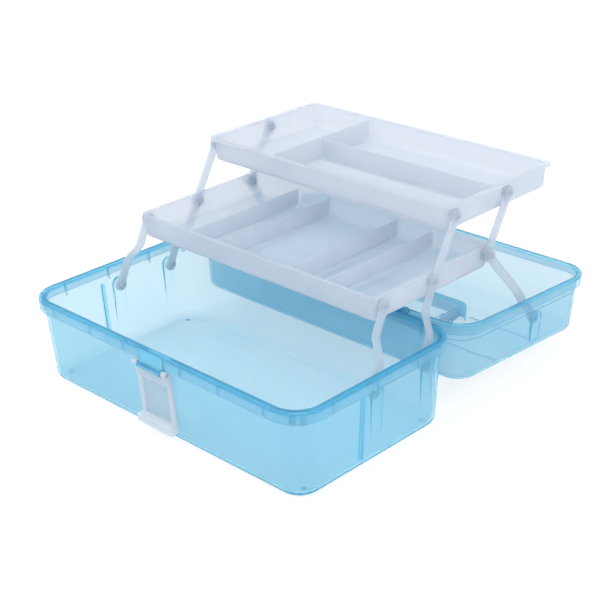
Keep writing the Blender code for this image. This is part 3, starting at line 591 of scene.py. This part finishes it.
def makeTub():
    piece = shell("tub_shell", tub)
    for side in (left, right):
        for pivot in (pivots["tubFront"], pivots["tubRear"]):
            combine(piece, wallRib("boss", tub, side, lambda z: bossFaceX, pivot.y,
                                   boss["half"], boss["low"], pivot.z, boss["edge"], True))
        combine(piece, wallRib("rib", tub, side, lambda z: wallX(tub, z) - rib["proud"],
                               rib["y"], rib["half"], boss["low"], rib["top"],
                               rib["edge"], False))
        for row in (left, right):
            combine(piece, upright("mark", side * marks["x"], row * marks["y"], -mm,
                                   marks["depth"], marks["radius"]), "DIFFERENCE")
    combine(piece, block("notch", (notch["x"] - notch["half"], notch["y"] - notch["wide"],
                                   tub["height"] - notch["depth"]),
                         (notch["x"] + notch["half"], notch["y"] + notch["wide"],
                          tub["height"] + mm)), "DIFFERENCE")
    combine(piece, rod("lug_nose", -lug["half"], lug["half"], latchAxis, lug["radius"],
                       lug["chamfer"]))
    backY = -tub["halfWidth"] + tub["overhang"] + tub["wall"]
    combine(piece, block("lug_web", (-lug["half"], latchAxis.y, latchAxis.z - lug["web"]),
                         (lug["half"], backY, tub["height"] - tub["rimThick"] / 2)))
    combine(piece, rod("lug_bore", -lug["half"] - mm, lug["half"] + mm, latchAxis,
                       lug["pin"] + lug["play"], steps=20), "DIFFERENCE")
    addKnuckles(piece, "tub", hinge)
    settle(piece, blueTub)
    keep(piece, "tub", "clear_blue_plastic", "base_tub")


catch = dict(half=14 * mm, height=3.6 * mm, proud=3.1 * mm, topZ=107.8 * mm, edge=0.5 * mm)
handle = dict(pivotDepth=6.2 * mm, reach=22 * mm, bar=4 * mm, gap=2 * mm, stub=2.4 * mm,
              stubIn=1.1 * mm, bend=12 * mm, play=0.3 * mm, flatten=0.92, steps=24,
              hubProud=0.5 * mm)


def recessBlock(name, grow, lowZ, highZ, fillet):
    # rounded at its top, which is the plateau inside the lid
    rings = []
    sides = [(0, lowZ)] + [(fillet - dx, highZ - fillet + dz) for dx, dz in
                           bend((0, 0), fillet, 0, 90, 5)]
    for inset, z in sides:
        radius = recess["corner"] + grow - inset
        outline = roundBox(recess["halfLength"] + grow - inset,
                           recess["halfWidth"] + grow - inset, radius, 10)
        rings.append([(x, y, z) for x, y in outline])
    return loft(name, rings)


ridge = dict(wide=1.2 * mm, high=1.1 * mm, reach=146 * mm)


def makeLid():
    piece = shell("lid_shell", lid)
    deep = recess["depth"]
    combine(piece, recessBlock("plateau", lid["wall"], lid["floor"] / 2, deep + lid["floor"],
                               recess["fillet"] + lid["wall"]))
    combine(piece, recessBlock("recess_room", 0, -mm, deep, recess["fillet"]), "DIFFERENCE")
    stubs = recess["halfLength"] + lid["wall"] + mm
    combine(piece, rod("stub_bore", -stubs, stubs, Vector((0, 0, handle["pivotDepth"])),
                       handle["stub"] + handle["play"], steps=24), "DIFFERENCE")
    for side in (left, right):
        combine(piece, wallRib("boss", lid, side, lambda z: bossFaceX, lidPivot.y,
                               boss["half"], boss["low"], lidPivot.z, boss["edge"], True))
        combine(piece, rod("socket", bossFaceX - mm, bossFaceX + boss["socket"], lidPivot,
                           pin["radius"] + pin["play"], side=side, steps=24), "DIFFERENCE")
    for side in (left, right):
        for row in (left, right):
            across = row * (recess["halfWidth"] + lid["wall"] - ridge["wide"] / 2)
            combine(piece, block("ridge", (side * (recess["halfLength"] + lid["wall"] / 2),
                                           across - ridge["wide"] / 2, lid["floor"] / 2),
                                 (side * ridge["reach"], across + ridge["wide"] / 2,
                                  lid["floor"] + ridge["high"])))
    # the catch stands on the front wall, which is at +Y while the lid lies mouth up
    catchTop = shutRimZ + lid["height"] - catch["topZ"]
    wallY = lid["halfWidth"] - lid["overhang"] - lid["slope"] * (lid["height"] - catchTop)
    combine(piece, block("catch", (-catch["half"], wallY - lid["wall"] / 2, catchTop),
                         (catch["half"], wallY + catch["proud"], catchTop + catch["height"]),
                         catch["edge"]))
    addKnuckles(piece, "lid", lidHinge)
    settle(piece, blueLid, place=lidPlace)
    keep(piece, "lid", "clear_blue_plastic", "lid")


gusset = dict(thick=1.2 * mm, below=2.6 * mm, foot=0.7 * mm, gap=0.06 * mm, cornerWide=3.4,
              cornerTurn=9, front=(-124, -76, -34, 34, 76, 124), rear=(-124, -50, 0, 50, 124),
              ends=(-52, -6, 40))    # places along each side in mm, clear of the hinges


def makeGussets():
    # thin webs between the tub's skirt and wall, and thick pairs in the corners
    g, s = gusset, tub
    top = s["height"] - s["rimThick"] - s["underFillet"]
    foot = s["height"] - s["skirt"] - g["below"]

    def wallAt(z):
        return s["overhang"] + s["slope"] * (s["height"] - z) - g["gap"]

    skirtAt = s["skirtThick"] + g["gap"]
    outline = [(skirtAt, top), (wallAt(top), top), (wallAt(foot), foot),
               (wallAt(foot) - g["foot"], foot), (skirtAt, s["height"] - s["skirt"])]
    half = g["thick"] / 2
    shape = loft("gusset", [[(u, v, z) for u, z in outline] for v in (-half, half)])
    spots = []
    for side, places in ((left, g["front"]), (right, g["rear"])):
        spots += [((x * mm, side * s["halfWidth"], 0), (0, 0, -side * math.pi / 2), (1, 1, 1))
                  for x in places]
        inward = math.pi if side == right else 0
        spots += [((side * s["halfLength"], y * mm, 0), (0, 0, inward), (1, 1, 1))
                  for y in g["ends"]]
    for corner, (sx, sy) in enumerate(((1, 1), (-1, 1), (-1, -1), (1, -1))):
        for away in (-g["cornerTurn"], g["cornerTurn"]):
            turn = math.radians(45 + 90 * corner + away)
            spots.append(((sx * (s["halfLength"] - s["corner"]) + s["corner"] * math.cos(turn),
                           sy * (s["halfWidth"] - s["corner"]) + s["corner"] * math.sin(turn),
                           0), (0, 0, turn + math.pi), (1, g["cornerWide"], 1)))
    piece = repeated("tub_gussets", shape, spots, blueTub)
    settle(piece, blueTub)
    keep(piece, "tub", "clear_blue_plastic")


makeTub()
makeLid()
makeGussets()
print("shells moulded")


tray = dict(depth=21.5 * mm, corner=7 * mm, lip=1.2 * mm, lipHeight=1.8 * mm,
            lipRound=0.4 * mm, lipUnder=0.3 * mm, wall=1.1 * mm, floor=1.1 * mm, slope=0.05,
            fillet=4 * mm, pocketFillet=4.5 * mm, pocketCorner=3.2 * mm, divider=1.2 * mm,
            boss=5 * mm, bossChamfer=0.4 * mm, rimCorner=0.3 * mm, lowerDrop=3.8 * mm,
            upperDrop=1.5 * mm, upperFlare=2.4 * mm, lowerCuts=(-78, -39.5, 39.5, 78),
            upperCross=-61 * mm, upperSplit=61 * mm)


def trayBody(name, low, high, flare):
    # flare is how far its lip reaches out further
    middle = ((low.x + high.x) / 2, (low.y + high.y) / 2)
    halfX, halfY = (high.x - low.x) / 2, (high.y - low.y) / 2
    t = tray
    lipZ = t["depth"] - t["lipHeight"]

    def inset(z):
        return t["lip"] + t["slope"] * (t["depth"] - z)

    profile = bend((inset(t["fillet"]) + t["fillet"], t["fillet"]), t["fillet"], 270, 180, 8)
    under, edge = t["lipUnder"], t["lipRound"]
    profile += [(inset(lipZ), lipZ - edge), (inset(lipZ) - under, lipZ)]
    profile += [(under - flare, lipZ), (-flare, lipZ + under)]
    profile += bend((edge - flare, t["depth"] - edge), edge, 180, 90, 3)
    rings = []
    for away, z in profile:
        outline = roundBox(halfX - away, halfY - away, max(t["corner"] - away, 1.5 * mm), 10,
                           middle)
        rings.append([(x, y, low.z + z) for x, y in outline])
    return loft(name, rings)


def pocket(name, span, slopes, floorZ, topZ, fillet):
    # span and slopes go left, right, front, rear; a slope leans that wall outwards
    lowX, highX, lowY, highY = span
    rings = []
    sides = [(fillet + dx, floorZ + fillet + dz) for dx, dz in bend((0, 0), fillet, 270, 180, 8)]
    for away, z in sides + [(0, topZ)]:
        lean = [slope * (topZ - z) for slope in slopes]
        x0, x1 = lowX + lean[0] + away, highX - lean[1] - away
        y0, y1 = lowY + lean[2] + away, highY - lean[3] - away
        radius = max(tray["pocketCorner"] - away, 0.8 * mm)
        outline = roundBox((x1 - x0) / 2, (y1 - y0) / 2, radius, 6,
                           ((x0 + x1) / 2, (y0 + y1) / 2))
        rings.append([(x, y, z) for x, y in outline])
    return loft(name, rings)


def makeTray(name, node, spans, drop, pivotNames, body, flare=0.0):
    low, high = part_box(node)
    t = tray
    piece = trayBody(name, low, high, flare)
    for side in (left, right):
        for pivotName in pivotNames:
            spot = pivots[pivotName]
            wallAt = high.x - t["lip"] - t["slope"] * (high.z - spot.z)
            combine(piece, rod("boss", wallAt - t["wall"] / 2, high.x, spot, t["boss"],
                               t["bossChamfer"], side))
    edge = t["lip"] + t["wall"]
    inside = (low.x + edge, high.x - edge, low.y + edge, high.y - edge)
    lean = t["slope"]
    combine(piece, pocket("top_room", inside, (lean,) * 4, high.z - drop, high.z + 0.5 * mm,
                          t["rimCorner"]), "DIFFERENCE")
    for span, slopes in spans(inside, lean):
        combine(piece, pocket("pocket", span, slopes, low.z + t["floor"], high.z + 0.2 * mm,
                              t["pocketFillet"]), "DIFFERENCE")
    for side in (left, right):
        for pivotName in pivotNames:
            combine(piece, rod("bore", high.x - 4 * mm, high.x + mm, pivots[pivotName],
                               pin["radius"] + pin["play"], side=side, steps=24), "DIFFERENCE")
    settle(piece, trayWhite)
    keep(piece, body, "frosted_tray_plastic", node)


def lowerPockets(inside, lean):
    # a wide one between two narrow ones, and one at each end
    lowX, highX, front, rear = inside
    edges = [lowX, *(x * mm for x in tray["lowerCuts"]), highX]
    half = tray["divider"] / 2
    for index, (start, end) in enumerate(zip(edges, edges[1:])):
        first, last = index == 0, index == len(edges) - 2
        yield ((start if first else start + half, end if last else end - half, front, rear),
               (lean if first else 0, lean if last else 0, lean, lean))


def upperPockets(inside, lean):
    # one across the left end, two long ones beside it
    lowX, highX, front, rear = inside
    cross, split, half = tray["upperCross"], front + tray["upperSplit"], tray["divider"] / 2
    yield (lowX, cross - half, front, rear), (lean, 0, lean, lean)
    yield (cross + half, highX, front, split - half), (0, lean, lean, 0)
    yield (cross + half, highX, split + half, rear), (0, lean, 0, lean)


makeTray("tray_low", "lower_tray", lowerPockets, tray["lowerDrop"],
         ("lowerFront", "lowerMiddle", "lowerRear"), "lower_tray")
makeTray("tray_top", "upper_tray", upperPockets, tray["upperDrop"],
         ("upperFront", "upperRear"), "upper_tray", tray["upperFlare"])
print("trays moulded")


bar = dict(half=3.8 * mm, thick=1.3 * mm, flange=1.25 * mm, channel=0.55 * mm, bank=0.35 * mm,
           chamfer=0.3 * mm, bend=4 * mm, jogStart=23 * mm, jogEnd=38 * mm,
           linkJogStart=12 * mm, linkJogEnd=42 * mm, bendSteps=6)


def barSection():
    # I section with a shallow channel down both faces: (across, outwards)
    b = bar
    foot = b["half"] - b["flange"]
    quarter = [(b["half"], b["thick"] - b["chamfer"]), (b["half"] - b["chamfer"], b["thick"]),
               (foot, b["thick"]), (foot - b["bank"], b["thick"] - b["channel"])]
    top = quarter + [(-u, v) for u, v in reversed(quarter)]
    return top + [(-u, -v) for u, v in top]


def eased(points):
    # corners of the route taken round
    route = [points[0]]
    for before, corner, after in zip(points, points[1:], points[2:]):
        start = corner + (before - corner).normalized() * bar["bend"]
        end = corner + (after - corner).normalized() * bar["bend"]
        for step in range(bar["bendSteps"] + 1):
            t = step / bar["bendSteps"]
            route.append(start * (1 - t) ** 2 + corner * 2 * t * (1 - t) + end * t * t)
    return route + [points[-1]]


def flatLink(name, side, stops, eyes, body, node):
    # stops are (pivot or point, x); the bar keeps its face square to X
    points = eased([Vector((x, spot.y, spot.z)) for spot, x in stops])
    rings = []
    for index, point in enumerate(points):
        run = points[min(index + 1, len(points) - 1)] - points[max(index - 1, 0)]
        run = Vector((0, run.y, run.z)).normalized()
        across = Vector((0, -run.z, run.y))
        rings.append([(side * (point.x + v), (point + across * u).y, (point + across * u).z)
                      for u, v in barSection()])
    piece = loft(name, rings)
    half = eye["thick"] / 2
    for spot, x in eyes:
        combine(piece, rod("eye", x - half, x + half, spot, eye["radius"], eye["chamfer"],
                           side))
    for spot, x in eyes:
        combine(piece, rod("bore", x - 2 * half, x + 2 * half, spot,
                           pin["radius"] + pin["play"], side=side, steps=24), "DIFFERENCE")
    settle(piece, armWhite)
    keep(piece, body, "milky_white_plastic", node)


def steppedArm(label, side, start, end, beyond=None):
    run = (end - start).normalized()
    stops = [(start, outerArmX), (start + run * bar["jogStart"], outerArmX),
             (start + run * bar["jogEnd"], innerArmX), (end, innerArmX)]
    eyes = [(start, outerArmX), (end, innerArmX)]
    if beyond is not None:
        stops.append((beyond, innerArmX))
        eyes.append((beyond, innerArmX))
    flatLink(f"{label}_bar", side, stops, eyes, label, label)


def makeArms():
    for side, end in ((left, "left"), (right, "right")):
        steppedArm(f"front_arm_{end}", side, pivots["tubFront"], pivots["lowerFront"])
        steppedArm(f"main_arm_{end}", side, pivots["tubRear"], pivots["lowerMiddle"],
                   pivots["upperFront"])
        low, high = (pivots["lowerRear"], innerArmX), (pivots["upperRear"], innerArmX)
        flatLink(f"rear_arm_{end}_bar", side, [low, high], [low, high], f"rear_arm_{end}",
                 f"rear_arm_{end}")
        near, far = pivots["lowerRear"], pivots["lid"]
        run = (far - near).normalized()
        stops = [(near, linkEyeX), (near + run * bar["linkJogStart"], linkEyeX),
                 (near + run * bar["linkJogEnd"], outerArmX), (far, outerArmX)]
        flatLink(f"lid_link_{end}_bar", side, stops, [stops[0], stops[-1]],
                 f"lid_link_{end}", f"lid_link_{end}")


makeArms()
print("arms moulded")


# snap rivets have a domed head inside and a split one outside
rivet = dict(head=3.1 * mm, thick=1.2 * mm, slit=0.7 * mm, slitDeep=1.1 * mm, point=0.4 * mm,
             dome=((0, 0.9), (0.12, 1.9), (0.42, 2.7), (0.9, 3.1)))    # (x, radius) in mm


def rivetShape(length, split):
    r = rivet
    head = [(x * mm, radius * mm) for x, radius in r["dome"]]
    head += [(r["thick"], r["head"]), (r["thick"], pin["radius"])]
    if split:
        tail = [(length - x, radius) for x, radius in reversed(head)]
    else:
        tail = [(length - r["point"], pin["radius"]), (length, pin["radius"] - r["point"])]
    shape = turned("rivet", head + tail, Vector((0, 0, 0)), steps=28)
    if split:
        combine(shape, block("slit", (length - r["slitDeep"], -4 * mm, -r["slit"] / 2),
                             (length + mm, 4 * mm, r["slit"] / 2)), "DIFFERENCE")
        bake(shape)
    return shape


def rivets(name, body, stems, split, ends=("left", "right")):
    nodes = [f"{stem}_{end}" for stem in stems for end in ends]
    spots = []
    for node in nodes:
        low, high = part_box(node)
        middle = (low + high) / 2
        if node.endswith("right"):
            spots.append(((low.x, middle.y, middle.z), (0, 0, 0), (1, 1, 1)))
        else:
            spots.append(((high.x, middle.y, middle.z), (0, 0, math.pi), (1, 1, 1)))
    piece = repeated(name, rivetShape(high.x - low.x, split), spots, armWhite)
    settle(piece, armWhite)
    keep(piece, body, "milky_white_plastic", *nodes)


rivets("rivets_low", "lower_tray", ("lower_tray_pin_front", "lower_tray_pin_middle"), True)
rivets("rivets_low_rear", "lower_tray", ("lower_tray_pin_rear",), True)
rivets("rivets_top", "upper_tray", ("upper_tray_pin_front", "upper_tray_pin_rear"), True)
rivets("rivets_lid", "lid", ("lid_link_pin",), False)
for end in ("left", "right"):
    rivets(f"rivet_front_{end}", f"front_arm_{end}", ("front_arm_tub_pin",), False, (end,))
    rivets(f"rivet_main_{end}", f"main_arm_{end}", ("main_arm_tub_pin",), False, (end,))
for node in ("hinge_pin_left", "hinge_pin_right", "latch_pin"):
    low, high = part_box(node)
    piece = rod(f"{node}_rod", low.x, high.x, flat((low + high) / 2), lug["pin"], lug["chamfer"])
    settle(piece, armWhite)
    keep(piece, "tub", "milky_white_plastic", node)
print("rivets set")


# the latch is modelled upright about its pin, then hung down
latch = dict(half=20 * mm, barrel=3.6 * mm, prong=5.5 * mm, prongRound=2.5 * mm,
             proud=0.6 * mm, plate=2 * mm, reach=53 * mm, hook=6.8 * mm, hookIn=4.56 * mm,
             band=5 * mm, bar=8 * mm, sunk=1.1 * mm, tilt=4.0, edge=0.45 * mm,
             panelSoft=0.5 * mm, panelInset=(0.6 * mm, 1.2 * mm), panelClear=0.45)


def latchPanel(make):
    # the sunk panel is thin and lets more blue through
    n = latch
    top, foot = n["barrel"] + n["bar"], n["reach"] - n["hook"]
    insetX, insetZ = n["panelInset"]
    inX = band(make.along("X"), 0, n["half"] - n["band"] - insetX, n["panelSoft"])
    inZ = band(make.along("Z"), latchAxis.z - (top + foot) / 2, (foot - top) / 2 - insetZ,
               n["panelSoft"])
    return None, inX * inZ * -n["panelClear"]


def makeLatch():
    n = latch
    outer, inner = -n["barrel"], -n["barrel"] + n["plate"]
    origin = Vector((0, 0, 0))
    piece = block("latch_plate", (-n["half"], outer, n["barrel"] + mm),
                  (n["half"], inner, n["reach"]))
    combine(piece, block("bar", (-n["half"], outer, n["barrel"] + mm),
                         (n["half"], inner + n["proud"], n["barrel"] + n["bar"])))
    combine(piece, block("hook", (-n["half"], outer, n["reach"] - n["hook"]),
                         (n["half"], n["hookIn"], n["reach"])))
    for side in (left, right):
        combine(piece, rod("prong", n["half"] - n["prong"], n["half"], origin, n["prongRound"],
                           0, side))
        combine(piece, block("neck", (side * (n["half"] - n["prong"]), outer, 0),
                             (side * n["half"], inner + n["proud"], n["barrel"] + 3 * mm)))
    combine(piece, rod("bore", -n["half"] - mm, n["half"] + mm, origin,
                       lug["pin"] + lug["play"], steps=24), "DIFFERENCE")
    panelLow, panelHigh = n["barrel"] + n["bar"] + mm, n["reach"] - n["hook"] - mm
    combine(piece, block("panel", (-n["half"] + n["band"], inner - n["sunk"], panelLow),
                         (n["half"] - n["band"], inner + 4 * mm, panelHigh), 0.6 * mm),
            "DIFFERENCE")
    bake(piece)
    soften = piece.modifiers.new("soften", "BEVEL")
    soften.width = n["edge"]
    soften.segments = 3
    soften.limit_method = "ANGLE"
    soften.angle_limit = math.radians(50)
    place = (Matrix.Translation(latchAxis)
             @ Matrix.Rotation(math.pi + math.radians(n["tilt"]), 4, "X"))
    settle(piece, seeThrough("milky_latch", latchLook, latchPanel), place=place)
    keep(piece, "latch", "milky_white_plastic", "latch")


makeLatch()


def makeHandle():
    # swept along a square-cornered bail, modelled in the lid's mouth-up frame
    h = handle
    depth = h["pivotDepth"]
    half = recess["halfLength"] - h["gap"] - h["bar"]
    corner = h["bend"]
    route = [Vector((-half, 0, depth)), Vector((-half, (h["reach"] - corner) / 2, depth))]
    for side, start in ((left, 180), (right, 90)):
        spot = (side * (half - corner), h["reach"] - corner)
        for x, y in bend(spot, corner, start, start - 90, 10):
            route.append(Vector((x, y, depth)))
    route += [Vector((half, (h["reach"] - corner) / 2, depth)), Vector((half, 0, depth))]
    rings = []
    for index, point in enumerate(route):
        run = route[min(index + 1, len(route) - 1)] - route[max(index - 1, 0)]
        run.normalize()
        across = Vector((run.y, -run.x, 0))
        rings.append([point + across * h["bar"] * math.cos(turn)
                      + Vector((0, 0, 1)) * h["bar"] * h["flatten"] * math.sin(turn)
                      for turn in (2 * math.pi * step / h["steps"] for step in range(h["steps"]))])
    piece = loft("handle_bail", rings)
    axis = Vector((0, 0, depth))
    for side in (left, right):
        combine(piece, rod("hub", half - h["bar"], half + h["bar"], axis,
                           h["bar"] + h["hubProud"], h["hubProud"], side))
        combine(piece, rod("stub", half, recess["halfLength"] + h["stubIn"], axis, h["stub"],
                           0.3 * mm, side))
    settle(piece, armWhite, place=lidPlace)
    keep(piece, "handle", "milky_white_plastic", "handle")


makeHandle()
print("latch and handle moulded")


studio = dict(lens=80.08, at=(0.7414, -0.6580, 0.5476), yaw=-0.7865, pitch=0.441,
              roll=-0.0344, floorHalf=6.0, floorGap=0.4 * mm, sky=1.0, table=0.35, glow=0.73,
              aim=(0, 0.09, 0.06), bounces=32, seeThroughs=48)
# name, place, size and power in watts
lamps = (("key", (-0.9, -1.0, 1.9), 1.4, 16), ("fill", (1.6, -0.4, 1.3), 1.2, 6))


def makeStudio():
    # a softly lit table, an even sky and two lamps
    shape = bmesh.new()
    bmesh.ops.create_grid(shape, x_segments=1, y_segments=1, size=studio["floorHalf"])
    bmesh.ops.translate(shape, vec=(0, 0, -studio["floorGap"]), verts=shape.verts)
    floor = newPiece("studio_floor", shape)
    bench.objects.unlink(floor)
    scene.collection.objects.link(floor)
    make = Shading("lit_table")
    paper = make.node("ShaderNodeBsdfPrincipled", None, {
        "Base Color": (*[studio["table"]] * 3, 1), "Roughness": 0.7, "Specular IOR Level": 0.1,
        "Emission Color": (1, 1, 1, 1), "Emission Strength": studio["glow"]})
    floor.data.materials.append(make.finish(paper))

    world = bpy.data.worlds.new("soft_sky")
    world.use_nodes = True
    world.node_tree.nodes["Background"].inputs["Color"].default_value = (1, 1, 1, 1)
    world.node_tree.nodes["Background"].inputs["Strength"].default_value = studio["sky"]
    scene.world = world
    for name, at, size, power in lamps:
        lamp = bpy.data.lights.new(name, "AREA")
        lamp.size = size
        lamp.energy = power
        holder = bpy.data.objects.new(name, lamp)
        holder.location = at
        aim = Vector(studio["aim"]) - Vector(at)
        holder.rotation_euler = aim.to_track_quat("-Z", "Y").to_euler()
        scene.collection.objects.link(holder)

    yaw, pitch, roll = studio["yaw"], studio["pitch"], studio["roll"]
    ahead = Vector((math.sin(yaw) * math.cos(pitch), math.cos(yaw) * math.cos(pitch),
                    -math.sin(pitch)))
    level = ahead.cross(Vector((0, 0, 1))).normalized()
    up = level.cross(ahead)
    across = level * math.cos(roll) + up * math.sin(roll)
    up = up * math.cos(roll) - level * math.sin(roll)
    camera = bpy.data.objects.new("camera", bpy.data.cameras.new("camera"))
    camera.data.sensor_width = 36
    camera.data.lens = studio["lens"]
    camera.data.clip_end = 30
    turn = Matrix((across, up, -ahead)).transposed().to_4x4()
    camera.matrix_world = Matrix.Translation(studio["at"]) @ turn
    scene.collection.objects.link(camera)
    scene.camera = camera
    scene.view_settings.view_transform = "Standard"
    scene.cycles.transparent_max_bounces = studio["seeThroughs"]
    scene.cycles.transmission_bounces = studio["bounces"]
    scene.cycles.max_bounces = studio["bounces"]


makeStudio()

for tool in list(bench.objects):
    bpy.data.objects.remove(tool, do_unlink=True)
bpy.data.collections.remove(bench)

print("done")
